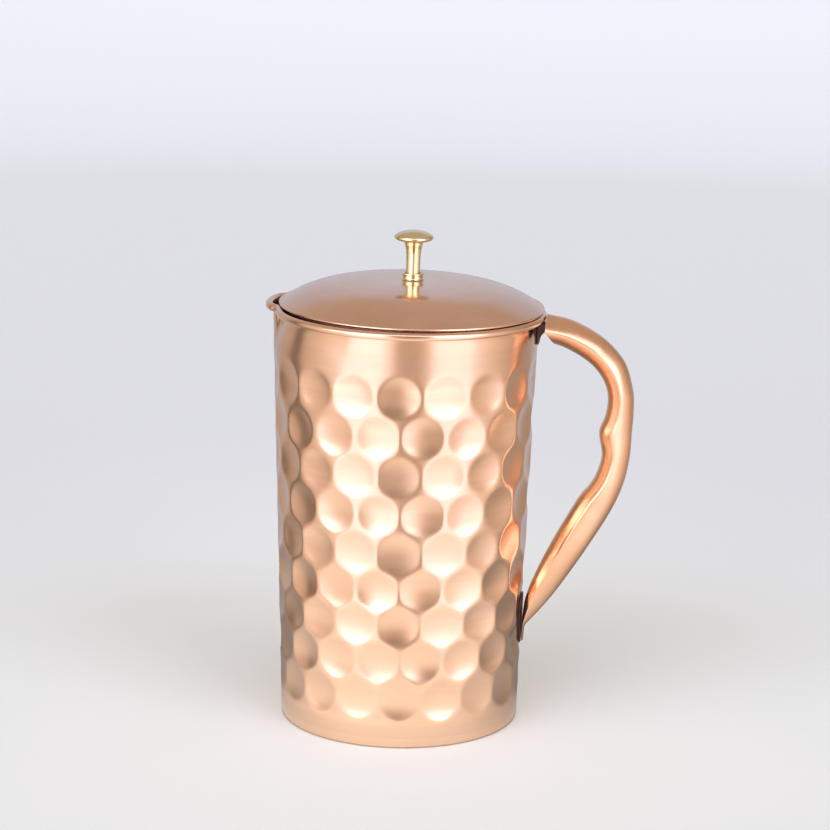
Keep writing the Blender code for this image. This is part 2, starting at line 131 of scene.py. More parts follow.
# Half width of the leaf at fractions of its height, from its top down
LEAF_OUTLINE = [(0.0, 0.0), (0.1, 3.0), (0.25, 5.5), (0.4, LEAF_HALF_WIDTH), (0.55, 4.5), (0.7, 3.0),
                (0.85, 2.2), (0.95, 1.5), (1.0, 0.0)]
PLATE_EDGE = math.radians(40.0)  # sharper edges of both plates are rounded

# Lid, above its own seat
SEAT = Matrix.Translation((2.4 * MM, 0.0, 175.5 * MM)) @ Matrix.Rotation(math.radians(0.7), 4, 'Y')
LID_R = 55.0
LID_EDGE = 1.2                  # height of the rolled edge
LID_LOW = 0.35                  # height at which the dome's line meets the lid's radius, inside the roll
LID_RISE = 10.75
LID_POWER = 3.8
APEX = LID_LOW + LID_RISE
SKIRT_R = 51.3
SKIRT_DEPTH = 7.0
SKIRT_LEDGE_R = 46.5
HOLE_R = 2.3
GAP = 0.3

# Knob and its fittings: the knob's heights are above the top of the lid, the collar's above its own foot
KNOB_BUTTON = [(0.0, 20.6), (3.5, 20.3), (6.0, 19.5), (7.5, 18.6), (8.05, 17.8), (7.9, 17.1), (7.0, 16.5),
               (5.0, 16.0), (3.6, 15.7)]
KNOB_NECK = [(3.65, 15.6), (3.8, 15.2), (3.65, 14.3), (3.3, 12.8), (3.0, 10.0), (2.95, 5.0), (3.05, 0.4)]
KNOB_FOOT_R = 3.05
BORE_R = 2.0
BORE_DEPTH = 9.0
COLLAR = [(3.5, 2.7), (3.9, 2.7), (4.45, 2.6), (4.62, 2.4), (4.65, 2.15), (4.5, 1.95), (4.28, 1.8),
          (4.2, 1.5), (4.2, 0.6), (4.3, 0.3), (4.6, 0.1), (4.6, 0.0), (3.35, 0.0), (3.35, 2.6)]
WASHER_R = 6.0
WASHER_THICKNESS = 0.8
WASHER_EDGE = 0.1
SCREW_HEAD_R = 3.8
SCREW_HEAD = 2.4
SCREW_SHANK_R = 1.7
SCREW_TIP_GAP = 0.7
SLOT_SIZE = (12.0, 1.0, 2.0)

HAND_SEED = 11                  # seed of every random draw

# Colours with alpha: spots on the near-black plates, the floor paint with its painted light falloff, the
# light of the floor's painted reflection, and the tints of the room's light
COPPER_SPOTS = (0.22, 0.08, 0.05, 1.0)
NEAR_PAINT_LIT = (0.93, 1.0, 1.0, 1.0)
MIDDLE_PAINT_SHADED = (0.82, 0.88, 0.935, 1.0)
FAR_PAINT_SHADED = (0.655, 0.69, 0.70, 1.0)
FLOOR_LIGHT = (1.0, 0.95, 0.90, 1.0)
WARM_ROOM = (1.12, 0.94, 0.80, 1.0)
COOL_PANELS = (0.98, 0.985, 1.11, 1.0)

# Stage, in mm, and the levels of its light
FLOOR_R = 1600.0
SWEEP_R = 900.0
ROOF_LEVEL = 0.48
STRIP_LEVEL = 2.4
BACKDROP_LEVEL = 0.78


class JugSizes(bpy.types.PropertyGroup):
    """Sizes of the hand work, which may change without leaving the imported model."""

    mark_depth: FloatProperty(name="Mark depth", description="Depth of a hammer mark below the ridges",
                              default=1.45 * MM, min=0.0, max=2.0 * MM, unit='LENGTH')
    mark_radius: FloatProperty(name="Mark radius", description="Radius at which a hammer mark ends",
                               default=8.85 * MM, min=6.0 * MM, max=12.0 * MM, unit='LENGTH')
    ridge_softness: FloatProperty(name="Ridge softness", description="Rounding of the ridges between marks",
                                  default=0.09 * MM, min=0.01 * MM, max=0.4 * MM, unit='LENGTH')
    unevenness: FloatProperty(name="Unevenness", description="How far marks stray from their places",
                              default=0.25 * MM, min=0.0, max=2.0 * MM, unit='LENGTH')
    lid_steps: IntProperty(name="Lid steps", description="Facets round the lid", default=240, min=48)
    knob_steps: IntProperty(name="Knob steps", description="Facets round the knob", default=96, min=24)


class JugFinish(bpy.types.PropertyGroup):
    """Colours and gloss of the metals."""

    wall_copper: FloatVectorProperty(name="Wall copper", description="Colour of the hammered wall",
                                     subtype='COLOR', default=(0.90, 0.58, 0.40), min=0.0, max=1.0)
    handle_copper: FloatVectorProperty(name="Handle copper", description="Colour of the polished handle",
                                       subtype='COLOR', default=(0.93, 0.55, 0.345), min=0.0, max=1.0)
    # Painted light: a paler, lit copy of the handle's copper for its inner side, facing the wall.
    inner_side_lit_copper: FloatVectorProperty(name="Inner side lit copper", description="Colour of the handle's inner side",
                                       subtype='COLOR', default=(0.95, 0.68, 0.46), min=0.0, max=1.0)
    lid_copper: FloatVectorProperty(name="Lid copper", description="Colour of the spun lid",
                                    subtype='COLOR', default=(0.87, 0.56, 0.40), min=0.0, max=1.0)
    brass: FloatVectorProperty(name="Brass", description="Colour of the knob and its fittings",
                               subtype='COLOR', default=(0.88, 0.76, 0.46), min=0.0, max=1.0)
    # Near-black purple-brown colour of the two handle plates.
    near_black_plate: FloatVectorProperty(name="Plate colour", description="Colour of the near-black plates at the brazed joints",
                               subtype='COLOR', default=(0.045, 0.017, 0.016), min=0.0, max=1.0)
    satin: FloatProperty(name="Satin roughness", description="Roughness of the brushed wall",
                         default=0.19, min=0.0, max=1.0)
    polish: FloatProperty(name="Polish roughness", description="Roughness of the polished handle",
                          default=0.20, min=0.0, max=1.0)


class JugStage(bpy.types.PropertyGroup):
    """Camera and light."""

    lens: FloatProperty(name="Lens", description="Focal length in mm on a 36 mm sensor", default=118.2)
    place: FloatVectorProperty(name="Camera", description="Place of the camera", subtype='TRANSLATION',
                               unit='LENGTH', default=(0.1588, -1.0974, 0.3847))
    turn: FloatProperty(name="Turn", description="Heading of the camera from +Y towards -X",
                        subtype='ANGLE', default=math.radians(8.0))
    pitch: FloatProperty(name="Pitch", description="Angle by which the camera looks down",
                         subtype='ANGLE', default=math.radians(12.98))
    roll: FloatProperty(name="Roll", description="Roll of the camera", subtype='ANGLE',
                        default=math.radians(1.104))
    light: FloatProperty(name="Light", description="Strength of the studio light", default=1.0, min=0.0)


# Shapes

def smooth(t):
    """Ease from 0 to 1."""
    t = np.clip(t, 0.0, 1.0)
    return t * t * (3.0 - 2.0 * t)


def arc(centre, radius, start, end, count):
    """Points on an arc in the XZ plane, angles in degrees."""
    turn = np.radians(np.linspace(start, end, count + 1))
    return [(centre[0] + radius * math.cos(a), centre[1] + radius * math.sin(a)) for a in turn]


def spline(values, positions):
    """Catmull-Rom values at fractional positions in an array of points."""
    values = np.asarray(values, float)
    last = len(values) - 1
    positions = np.asarray(positions, float)
    index = np.clip(positions.astype(int), 0, last - 1)
    t = (positions - index)[:, None]
    before, here = values[np.clip(index - 1, 0, last)], values[index]
    after, beyond = values[index + 1], values[np.clip(index + 2, 0, last)]
    return 0.5 * (2.0 * here + (after - before) * t
                  + (2.0 * before - 5.0 * here + 4.0 * after - beyond) * t * t
                  + (3.0 * here - before - 3.0 * after + beyond) * t ** 3)


def rounded(points, splits):
    """A smooth chain through the points."""
    count = (len(points) - 1) * splits
    return [tuple(p) for p in spline(points, np.arange(count + 1) / splits)]


def deselect():
    bpy.ops.object.select_all(action='DESELECT')


def pick(obj):
    """Select one object alone and make it the active one."""
    deselect()
    obj.select_set(True)
    bpy.context.view_layer.objects.active = obj


def begin(name):
    """Name the primitive that was just added."""
    obj = bpy.context.object
    obj.name = name
    obj.data.name = name
    return obj


def draw_chain(name, points):
    """Draw a chain of edges in the XZ plane, one vertex extruded from the last, and stay in edit mode."""
    deselect()
    x, z = points[0]
    bpy.ops.mesh.primitive_plane_add(size=MM, location=(x * MM, 0.0, z * MM))
    obj = begin(name)
    bpy.ops.object.mode_set(mode='EDIT')
    bpy.ops.mesh.select_mode(type='VERT')
    bpy.ops.mesh.merge(type='CENTER')
    for (x0, z0), (x1, z1) in zip(points, points[1:]):
        step = ((x1 - x0) * MM, 0.0, (z1 - z0) * MM)
        bpy.ops.mesh.extrude_vertices_move(TRANSFORM_OT_translate={"value": step})
    bpy.ops.mesh.select_all(action='SELECT')
    return obj


def finish_mesh(obj, merge=0.001 * MM):
    """Weld the seams, turn the faces outwards and leave edit mode with the place in the mesh."""
    bpy.ops.mesh.select_all(action='SELECT')
    bpy.ops.mesh.remove_doubles(threshold=merge)
    bpy.ops.mesh.normals_make_consistent(inside=False)
    bpy.ops.object.mode_set(mode='OBJECT')
    bpy.ops.object.transform_apply(location=True, rotation=True, scale=True)
    return obj


def turned(name, points, steps, closed=True):
    """A solid of revolution about Z. A closed profile runs down its outer side and up its inner one."""
    obj = draw_chain(name, [*points, points[0]] if closed else points)
    bpy.ops.mesh.spin(steps=steps, angle=2.0 * math.pi, center=(0.0, 0.0, 0.0), axis=(0.0, 0.0, 1.0))
    return finish_mesh(obj)


def read_points(obj):
    co = np.empty(len(obj.data.vertices) * 3)
    obj.data.vertices.foreach_get("co", co)
    return co.reshape(-1, 3)


def write_points(obj, co):
    obj.data.vertices.foreach_set("co", np.ascontiguousarray(co).ravel())
    obj.data.update()


def apply_modifier(obj, kind, **values):
    modifier = obj.modifiers.new(kind.lower(), kind)
    for key, value in values.items():
        setattr(modifier, key, value)
    pick(obj)
    bpy.ops.object.modifier_apply(modifier=modifier.name)


def shade(obj, degrees=35.0):
    """Smooth the faces but keep the edges that turn by more than the given angle."""
    pick(obj)
    bpy.ops.object.shade_smooth_by_angle(angle=math.radians(degrees))


def hand_in(obj, body, slot, mat, *nodes):
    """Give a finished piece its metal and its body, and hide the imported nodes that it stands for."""
    obj.data.materials.clear()
    obj.data.materials.append(mat)
    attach(obj, body)
    if nodes:
        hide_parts(*nodes)


def onto_lid(obj):
    """Move a piece from the lid's own frame to its place on the jug."""
    obj.matrix_world = SEAT
    pick(obj)
    bpy.ops.object.transform_apply(location=True, rotation=True, scale=True)


# Wall

def plain_radius(z):
    return BASE_R + (TOP_R - BASE_R) * z / TOP_Z


def hammer_marks(sizes):
    """Angle, height, radius and depth of every mark, row by row, in mm."""
    draw = np.random.default_rng(HAND_SEED)
    stray = sizes.unevenness / MM
    rows = []
    for row, z in enumerate(MARK_ROWS):
        first = MARK_ANGLES[row % 2] + MARK_DRIFT * (row / (len(MARK_ROWS) - 1) - 0.5)
        angle = first + np.arange(MARKS_PER_ROW) * 360.0 / MARKS_PER_ROW
        angle = np.radians(angle) + draw.normal(0.0, stray, MARKS_PER_ROW) / TOP_R
        height = z + draw.normal(0.0, stray, MARKS_PER_ROW)
        radius = sizes.mark_radius / MM * draw.normal(1.0, 0.025, MARKS_PER_ROW)
        depth = sizes.mark_depth / MM * draw.normal(1.0, 0.08, MARKS_PER_ROW)
        rows.append((angle, height, radius, depth))
    return rows


def recess(co, sizes):
    """Depth in mm of the hammered wall below its plain surface: a soft maximum over the marks."""
    angle = np.arctan2(co[:, 1], co[:, 0])
    z = co[:, 2] / MM
    soft = sizes.ridge_softness / MM
    total = np.ones(len(co))
    for centre, height, radius, depth in hammer_marks(sizes):
        near = np.abs(z - height.mean()) < radius.max() * 1.4
        across = angle[near, None] - centre[None, :]
        across = (across + math.pi) % (2.0 * math.pi) - math.pi
        across *= plain_radius(z[near])[:, None]
        away = (across ** 2 + (z[near, None] - height[None, :]) ** 2) / radius[None, :] ** 2
        total[near] += np.exp(depth[None, :] * (1.0 - away) / soft).sum(axis=1)
    deep = soft * np.log(total)
    side = np.abs(angle) * BASE_R - LEAF_HALF_WIDTH
    middle = (LEAF_Z[0] + LEAF_Z[1]) / 2.0
    above = np.abs(z - middle) - (LEAF_Z[1] - LEAF_Z[0]) / 2.0
    flat = smooth(1.0 - np.maximum(side, above) / RECESS_FADE)
    return deep + (LEAF_RECESS - deep) * flat


def beak_line(step, weight):
    """Plan points of the rim's line at fractional steps from the beak, part way to its pinched shape."""
    turn = np.arange(-BEAK_STEPS // 2 - 2, BEAK_STEPS // 2 + 4)
    angle = math.pi - turn * 2.0 * math.pi / BEAK_STEPS
    pinched = np.stack([np.cos(angle), np.sin(angle)], axis=1) * BEAD_CENTRE[0]
    for i, count in enumerate(turn):
        if abs(count) < len(BEAK_LINE):
            x, y = BEAK_LINE[abs(count)]
            pinched[i] = (x, math.copysign(y, count))
    angle = math.pi - step * 2.0 * math.pi / BEAK_STEPS
    circle = np.stack([np.cos(angle), np.sin(angle)], axis=1) * BEAD_CENTRE[0]
    return circle + (spline(pinched, step - turn[0]) - circle) * weight[:, None]


def form_mouth(co):
    """Pinch the rim beside the beak and raise its lip, keeping every section square to the rim."""
    z = co[:, 2] / MM
    radius = np.hypot(co[:, 0], co[:, 1]) / MM
    step = (math.pi - np.arctan2(co[:, 1], co[:, 0])) * BEAK_STEPS / (2.0 * math.pi)
    step = np.where(step > BEAK_STEPS / 2, step - BEAK_STEPS, step)
    weight = smooth((z - BEAK_FADE_Z[0]) / (BEAK_FADE_Z[1] - BEAK_FADE_Z[0]))
    along = beak_line(step + 0.5, weight) - beak_line(step - 0.5, weight)
    along /= np.linalg.norm(along, axis=1)[:, None]
    outward = np.stack([-along[:, 1], along[:, 0]], axis=1)
    spot = beak_line(step, weight) + outward * (radius - BEAD_CENTRE[0])[:, None]
    away = np.abs(step) * 2.0 * math.pi / BEAK_STEPS
    rise = RIM_SLOPE * np.cos(away) + LIP_RISE * smooth(1.0 - away / LIP_SPAN)
    return np.stack([spot[:, 0], spot[:, 1], z + rise * weight], axis=1) * MM


def wall_profile():
    """Down the outside, round the foot, up the inside and round the rolled rim."""
    low, high = HAMMER_Z
    heights = [*np.linspace(TOP_Z, high + 1.0, 13), *np.linspace(high, low, HAMMER_STEPS),
               7.0, 5.0, 3.0, 1.8]
    outer = [(plain_radius(z), z) for z in heights]
    corner = arc((BASE_R - FOOT_CORNER, FOOT_CORNER), FOOT_CORNER, 0.0, -90.0, 5)
    rising = [0.0, 4.0, *np.linspace(low, high, LINING_STEPS), 159.0, 162.0, 165.0, 168.0, TOP_Z]
    inner = [(plain_radius(z) - SHEET, z) for z in rising]
    curl = arc(BEAD_CENTRE, BEAD_R, 180.0, -100.0, 18)
    back = arc(BEAD_CENTRE, BEAD_R - SHEET, -100.0, 180.0, 12)
    return outer + corner[:-1] + inner + curl + back


class WATERJUG_OT_hammered_wall(bpy.types.Operator):
    """Raise the hammered wall with its rolled rim and pinched beak"""

    bl_idname = "water_jug.hammered_wall"
    bl_label = "Hammered wall"

    def execute(self, context):
        sizes = context.scene.water_jug_sizes
        wall = turned("hammered_wall", wall_profile(), ROUND_STEPS)
        co = read_points(wall)
        deep = np.where(co[:, 2] < TOP_Z * MM, recess(co, sizes), 0.0)
        radius = np.hypot(co[:, 0], co[:, 1])
        co[:, :2] *= (1.0 - deep * MM / radius)[:, None]
        write_points(wall, form_mouth(co))
        mark = wall.data.attributes.new("hammered", 'FLOAT', 'POINT')
        mark.data.foreach_set("value", deep / (sizes.mark_depth / MM))
        shade(wall, 40.0)
        hand_in(wall, "jug", "wall_copper", hammered_copper(context), "body_shell")
        return {'FINISHED'}


class WATERJUG_OT_base(bpy.types.Operator):
    """Set the flanged base into the foot of the wall, and finish the wire in the rim"""

    bl_idname = "water_jug.base"
    bl_label = "Base and rim wire"

    def execute(self, context):
        finish = context.scene.water_jug_finish
        rim_r = BASE_R - SHEET - GAP
        flat_r = rim_r - BASE_CORNER
        points = [(r, SHEET) for r in (*BASE_RINGS, flat_r)]
        points += arc((flat_r, BASE_CORNER), BASE_CORNER - SHEET, -90.0, 0.0, 6)[1:]
        points += [(rim_r - SHEET, FLANGE_TOP - 2.0 * FLANGE_EDGE),
                   (rim_r - SHEET + FLANGE_EDGE, FLANGE_TOP),
                   (rim_r - FLANGE_EDGE, FLANGE_TOP), (rim_r, FLANGE_TOP - 0.2)]
        points += arc((flat_r, BASE_CORNER), BASE_CORNER, 0.0, -90.0, 8)
        points += [(r, 0.0) for r in reversed(BASE_RINGS)]
        base = turned("base_pan", points, 180, closed=False)
        shade(base)
        copper = spun_copper("base_copper", finish.wall_copper, 0.34, lines=2600.0, depth=0.5)
        hand_in(base, "jug", "wall_copper", copper, "base_disc")
        wire = spun_copper("wire_copper", finish.wall_copper, 0.40, lines=3000.0, depth=0.3)
        rim_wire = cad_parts["rim_wire"]
        rim_wire.data.materials.clear()
        rim_wire.data.materials.append(wire)
        return {'FINISHED'}


# Handle

def handle_ring(position, wall):
    """Lens-shaped section of the handle in mm, with a ridge at each side, shrunk by the wall thickness."""
    x1, z1, x0, z0, half, ridge = spline(HANDLE_STATIONS, [position])[0]
    turn = 2.0 * math.pi * np.arange(HANDLE_SIDES) / HANDLE_SIDES
    reach = np.array([x1 - x0, z1 - z0]) / 2.0
    reach *= 1.0 - wall / np.linalg.norm(reach)
    across = np.cos(turn)
    up = np.sign(np.sin(turn)) * np.abs(np.sin(turn)) ** LENS_POWER
    bulge = END_BULGE * max(0.0, 1.0 - position) * np.where(up > 0.0, across ** 2, 1.0 + up)
    place = up + ridge * (1.0 - np.abs(up))
    x = (x0 + x1) / 2.0 + reach[0] * place - bulge
    z = (z0 + z1) / 2.0 + reach[1] * place
    return np.stack([x, (half - wall) * across, z], axis=1)


def inner_light_weight(stations):
    """How far each vertex takes the painted paler inner side, from the station of its ring. The lining's
    rings stand at 0.
    """
    sine = np.sin(2.0 * math.pi * np.arange(HANDLE_SIDES + 1) / HANDLE_SIDES)
    low, high = INNER_LIGHT_STATIONS
    return smooth(-sine / 0.5)[None, :] * smooth((stations - low) / (high - low))[:, None]


class WATERJUG_OT_handle(bpy.types.Operator):
    """Draw the hollow handle, open at its slanted upper end and pinched at its foot"""

    bl_idname = "water_jug.handle"
    bl_label = "Handle"

    def execute(self, context):
        last = len(HANDLE_STATIONS) - 1
        from_tip = np.linspace(last, 0.0, last * HANDLE_SPLITS + 1)
        outer = [handle_ring(p, 0.0) for p in from_tip]
        inner = [handle_ring(p, HANDLE_SHEET)
                 for p in np.linspace(0.0, HOLLOW_END, HOLLOW_END * HANDLE_SPLITS + 1)]
        rings = [outer[0] * 0.0 + outer[0].mean(axis=0), *outer, *inner,
                 inner[-1] * 0.0 + inner[-1].mean(axis=0)]
        deselect()
        bpy.ops.mesh.primitive_grid_add(x_subdivisions=HANDLE_SIDES, y_subdivisions=len(rings) - 1,
                                        size=MM)
        handle = begin("handle")
        wrapped = [np.concatenate([ring, ring[:1]]) for ring in rings]
        write_points(handle, np.concatenate(wrapped) * MM)
        stations = np.array([last, *from_tip, *[0.0] * (len(inner) + 1)])
        # Weight of the painted light on the handle's inner side, facing the wall.
        mark = handle.data.attributes.new("inner_light", 'FLOAT', 'POINT')
        mark.data.foreach_set("value", inner_light_weight(stations).ravel())
        bpy.ops.object.mode_set(mode='EDIT')
        finish_mesh(handle)
        shade(handle, 50.0)
        hand_in(handle, "jug", "handle_copper", polished_copper(context), "handle_tube")
        return {'FINISHED'}


def upper_bracket(near_black_plate):
    """Bracket that stands on the wall and reaches into the handle's mouth."""
    low, high = ARM_Z
    under = high - ARM_THICKNESS
    foot_x = TOP_R + THIN_GAP + ARM_FOOT_THICKNESS
    face = TOP_R - 2.0
    outline = [(face, low), (face, high), (ARM_REACH_X, high), (ARM_REACH_X, under)]
    outline += arc((foot_x + ARM_SWEEP, under - ARM_SWEEP), ARM_SWEEP, 90.0, 180.0, 16)
    outline += [(foot_x, low)]
    bracket = draw_chain("upper_bracket", outline)
    bpy.ops.mesh.edge_face_add()
    bpy.ops.transform.translate(value=(0.0, -ARM_HALF_WIDTH * MM, 0.0))
    bpy.ops.mesh.extrude_region_move(TRANSFORM_OT_translate={"value": (0.0, 2.0 * ARM_HALF_WIDTH * MM, 0.0)})
    finish_mesh(bracket)
    co = read_points(bracket)
    at_wall = co[:, 0] < (TOP_R - 1.0) * MM
    wall_r = (plain_radius(co[:, 2] / MM) + THIN_GAP) * MM
    co[:, 0] = np.where(at_wall, np.sqrt(wall_r ** 2 - co[:, 1] ** 2), co[:, 0])
    write_points(bracket, co)
    apply_modifier(bracket, 'BEVEL', width=0.16 * MM, segments=2, limit_method='ANGLE',
                   angle_limit=PLATE_EDGE)
    shade(bracket, 40.0)
    hand_in(bracket, "jug", "plate_oxide", near_black_plate, "upper_handle_plate")


def lower_leaf(near_black_plate):
    """Leaf-shaped plate that lies on the wall under the handle's tip."""
    deselect()
    columns, rows = LEAF_GRID
    bpy.ops.mesh.primitive_grid_add(x_subdivisions=columns, y_subdivisions=rows, size=2.0)
    leaf = begin("lower_leaf")
    co = read_points(leaf)
    down = (co[:, 1] + 1.0) / 2.0
    z = LEAF_Z[1] + (LEAF_Z[0] - LEAF_Z[1]) * down
    y = co[:, 0] * np.interp(down, *zip(*LEAF_OUTLINE))
    outside = plain_radius(z) - LEAF_RECESS + THIN_GAP + LEAF_THICKNESS
    x = np.sqrt(outside ** 2 - y ** 2)
    write_points(leaf, np.stack([x, y, z], axis=1) * MM)
    bpy.ops.object.mode_set(mode='EDIT')
    finish_mesh(leaf, merge=0.01 * MM)
    if leaf.data.polygons[len(leaf.data.polygons) // 2].normal.x < 0.0:
        leaf.data.flip_normals()
    apply_modifier(leaf, 'SOLIDIFY', thickness=LEAF_THICKNESS * MM, offset=-1.0)
    apply_modifier(leaf, 'BEVEL', width=0.15 * MM, segments=2, limit_method='ANGLE', angle_limit=PLATE_EDGE)
    shade(leaf, 40.0)
    hand_in(leaf, "jug", "plate_oxide", near_black_plate, "lower_handle_plate")


class WATERJUG_OT_plates(bpy.types.Operator):
    """Form the two near-black plates between the handle and the wall"""

    bl_idname = "water_jug.plates"
    bl_label = "Handle plates"

    def execute(self, context):
        near_black_plate = near_black_plate_material("plate_oxide", context.scene.water_jug_finish.near_black_plate)
        upper_bracket(near_black_plate)
        lower_leaf(near_black_plate)
        return {'FINISHED'}


# Lid

def dome_z(radius):
    return LID_LOW + LID_RISE * (1.0 - (radius / LID_R) ** LID_POWER)


def spun_lid(steps, copper):
    """Domed lid with its rolled edge and the screw's hole."""
    edge_r = LID_EDGE / 2.0
    points = [(HOLE_R, dome_z(HOLE_R) - 0.1), (HOLE_R + 0.1, dome_z(HOLE_R))]
    points += [(r, dome_z(r)) for r in (*np.linspace(4.0, 44.0, 21), *np.linspace(45.0, 53.9, 15))]
    points += arc((LID_R - edge_r, edge_r), edge_r, 130.0, -120.0, 16)
    points += [(53.0, dome_z(53.0) - SHEET)]
    points += [(r, dome_z(r) - SHEET) for r in (51.5, 49.5, *np.linspace(47.0, HOLE_R, 20))]
    lid = turned("lid", points, steps)
    onto_lid(lid)
    shade(lid, 35.0)
    hand_in(lid, "lid", "lid_copper", copper, "lid_dome")


def lid_ring(steps, copper):
    """Skirt under the lid, which drops into the mouth of the jug."""
    under = SHEET * 1.1 + GAP
    inner_top = dome_z(SKIRT_LEDGE_R) - under - 0.1
    outer_top = dome_z(SKIRT_R) - under - 0.2
    points = [(SKIRT_LEDGE_R, inner_top), (SKIRT_R - 0.6, outer_top + 0.15), (SKIRT_R, outer_top - 0.4)]
    points += arc((SKIRT_R - SHEET / 2.0, SHEET / 2.0 - SKIRT_DEPTH), SHEET / 2.0, 0.0, -180.0, 8)
    points += [(SKIRT_R - SHEET, outer_top - 1.1), (SKIRT_R - 1.3, outer_top - 0.55),
               (SKIRT_LEDGE_R, inner_top - 0.8)]
    skirt = turned("lid_ring", points, steps)
    onto_lid(skirt)
    shade(skirt, 35.0)
    hand_in(skirt, "lid", "lid_copper", copper, "lid_skirt")


class WATERJUG_OT_lid(bpy.types.Operator):
    """Spin the domed lid with its rolled edge, and the skirt under it"""

    bl_idname = "water_jug.lid"
    bl_label = "Lid"

    def execute(self, context):
        steps = context.scene.water_jug_sizes.lid_steps
        colour = context.scene.water_jug_finish.lid_copper
        spun_lid(steps, spun_copper("lid_copper", colour, 0.13, lines=1500.0, depth=0.10))
        lid_ring(steps, spun_copper("ring_copper", colour, 0.32, lines=2200.0, depth=0.5))
        return {'FINISHED'}


# Knob

def brass_knob(steps, brass):
    """Button and stem in one, bored from below for the screw."""
    foot = APEX + GAP
    points = [(r, APEX + z) for r, z in rounded(KNOB_BUTTON, 5) + rounded(KNOB_NECK, 5)]
    points += [(KNOB_FOOT_R, foot), (BORE_R, foot), (BORE_R, foot + BORE_DEPTH),
               (0.0, foot + BORE_DEPTH + 1.0)]
    knob = turned("brass_knob", points, steps, closed=False)
    onto_lid(knob)
    shade(knob, 40.0)
    hand_in(knob, "lid", "knob_brass", brass, "knob")


def brass_collar(steps, brass):
    """Ferrule round the foot of the knob."""
    collar = turned("brass_collar", [(r, APEX + GAP + z) for r, z in COLLAR], steps)
    onto_lid(collar)
    shade(collar, 40.0)
    hand_in(collar, "lid", "knob_brass", brass, "knob_collar")


def brass_washer(steps, brass):
    """Flat washer between the lid and the head of the screw."""
    top = APEX - SHEET - GAP
    low = top - WASHER_THICKNESS
    points = [(WASHER_R - WASHER_EDGE, top), (WASHER_R, top - WASHER_EDGE), (WASHER_R, low + WASHER_EDGE),
              (WASHER_R - WASHER_EDGE, low), (HOLE_R + WASHER_EDGE, low), (HOLE_R, low + WASHER_EDGE),
              (HOLE_R, top - WASHER_EDGE), (HOLE_R + WASHER_EDGE, top)]
    washer = turned("brass_washer", points, steps)
    onto_lid(washer)
    shade(washer, 40.0)
    hand_in(washer, "lid", "knob_brass", brass, "knob_washer")


def brass_screw(steps, brass):
    """Slotted screw from inside the lid up into the knob."""
    under = APEX - SHEET - GAP - WASHER_THICKNESS - GAP
    low = under - SCREW_HEAD
    tip = APEX + GAP + BORE_DEPTH - SCREW_TIP_GAP
    points = [(0.0, tip), (1.3, tip), (SCREW_SHANK_R, tip - 0.5), (SCREW_SHANK_R, under),
              (SCREW_HEAD_R - 0.1, under), (SCREW_HEAD_R, under - 0.1), (SCREW_HEAD_R, low + 1.1)]
    points += rounded([(SCREW_HEAD_R, low + 1.0), (3.6, low + 0.55), (2.9, low + 0.2), (1.6, low + 0.05),
                       (0.0, low)], 4)
    screw = turned("brass_screw", points, steps, closed=False)
    deselect()
    bpy.ops.mesh.primitive_cube_add(size=MM, location=(0.0, 0.0, low * MM))
    slot = begin("slot_cutter")
    slot.scale = SLOT_SIZE
    bpy.context.view_layer.update()
    apply_modifier(screw, 'BOOLEAN', operation='DIFFERENCE', solver='EXACT', object=slot)
    bpy.data.objects.remove(slot, do_unlink=True)
    onto_lid(screw)
    shade(screw, 30.0)
    hand_in(screw, "lid", "knob_brass", brass, "knob_screw")


class WATERJUG_OT_knob(bpy.types.Operator):
    """Turn the brass knob, its collar, washer and slotted screw"""

    bl_idname = "water_jug.knob"
    bl_label = "Knob"

    def execute(self, context):
        steps = context.scene.water_jug_sizes.knob_steps
        colour = context.scene.water_jug_finish.brass
        bright = turned_brass("knob_brass", colour, 0.055)
        plain = turned_brass("fitting_brass", colour, 0.26)
        brass_knob(steps, bright)
        brass_collar(steps, bright)
        brass_washer(steps, plain)
        brass_screw(steps, plain)
        return {'FINISHED'}


# Finishes

class Nodes:
    """Short calls for placing and linking nodes in one tree."""

    def __init__(self, tree):
        self.tree = tree

    def add(self, kind, settings=None, **inputs):
        node = self.tree.nodes.new(kind)
        for key, value in (settings or {}).items():
            setattr(node, key, value)
        for key, value in inputs.items():
            self.feed(node.inputs[key.replace("_", " ")], value)
        return node

    def feed(self, socket, value):
        if isinstance(value, bpy.types.NodeSocket):
            self.tree.links.new(value, socket)
        else:
            socket.default_value = value

    def math(self, operation, *values):
        node = self.tree.nodes.new("ShaderNodeMath")
        node.operation = operation
        for socket, value in zip(node.inputs, values):
            self.feed(socket, value)
        return node.outputs[0]

    def mix(self, factor, one, two):
        node = self.tree.nodes.new("ShaderNodeMix")
        node.data_type = 'RGBA'
        for index, value in ((0, factor), (6, one), (7, two)):
            self.feed(node.inputs[index], value)
        return node.outputs[2]

    def spread(self, value, low, high, to_low, to_high):
        node = self.tree.nodes.new("ShaderNodeMapRange")
        node.interpolation_type = 'SMOOTHSTEP'
        for socket, item in zip(node.inputs, (value, low, high, to_low, to_high)):
            self.feed(socket, item)
        return node.outputs[0]

    def plus(self, value, mask, amount):
        """A value raised by a part of a mask."""
        return self.math('ADD', value, self.math('MULTIPLY', mask, amount))

    def blend(self, low, high, factor):
        """A value that goes from low to high as the factor goes from 0 to 1."""
        return self.math('ADD', low, self.math('MULTIPLY', factor, self.math('SUBTRACT', high, low)))

    def distance(self, where):
        node = self.add("ShaderNodeVectorMath", {"operation": 'LENGTH'})
        self.feed(node.inputs[0], where)
        return node.outputs["Value"]

    def noise(self, vector, scale, detail=2.0, rough=0.5):
        node = self.tree.nodes.new("ShaderNodeTexNoise")
        self.feed(node.inputs["Vector"], vector)
        self.feed(node.inputs["Scale"], scale)
        node.inputs["Detail"].default_value = detail
        node.inputs["Roughness"].default_value = rough
        return node.outputs["Fac"]


